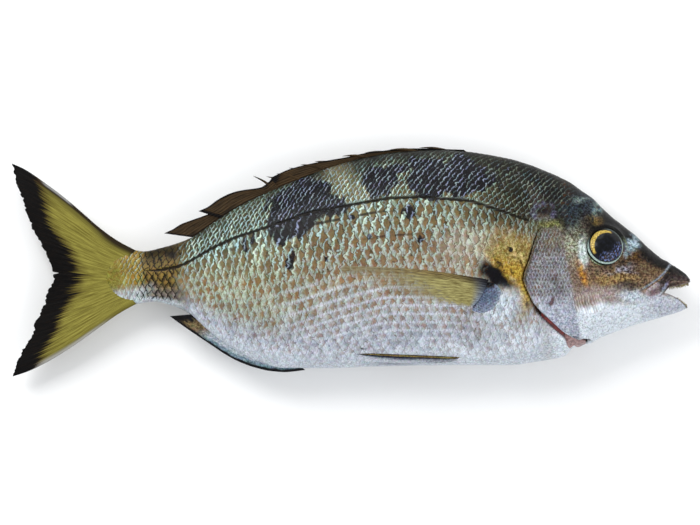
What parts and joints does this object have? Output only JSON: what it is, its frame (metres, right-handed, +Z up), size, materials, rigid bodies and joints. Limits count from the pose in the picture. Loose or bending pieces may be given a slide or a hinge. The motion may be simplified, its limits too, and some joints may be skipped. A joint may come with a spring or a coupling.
{
  "type": "whole raw fish",
  "caption": "Whole raw sea bream lying on its side, with a deep oval body, forked tail, spiny back fin, gill covers, large eyes and a slightly open mouth.",
  "frame": {"origin": "on the surface that the fish lies on, below the middle of the fish's outline as seen from above", "axes": "+X along the body towards the snout, +Y across it towards the back fin, +Z up out of the right flank"},
  "size_m": [0.2997, 0.1009, 0.0404],
  "materials": {
    "skin": "gloss",
    "gill_cover": "gloss",
    "jaw": "gloss",
    "teeth": "satin",
    "gill_red": "gloss",
    "eye": "polished",
    "dark_fin": "satin",
    "tail_fin": "satin",
    "clear_fin": "satin"
  },
  "bodies": {
    "root": {"body": "skin", "gill_cover_right": "gill_cover", "gills_right": "gill_red", "eye_right": "eye", "pectoral_fin_right": "clear_fin", "pelvic_fin_right": "clear_fin", "gill_cover_left": "gill_cover", "gills_left": "gill_red", "eye_left": "eye", "pectoral_fin_left": "clear_fin", "pelvic_fin_left": "clear_fin", "upper_jaw": "jaw", "upper_tooth_row": "teeth", "lower_tooth_row": "teeth", "dorsal_fin": "dark_fin", "anal_fin": "dark_fin", "caudal_fin": "tail_fin"}
  },
  "joints": []
}
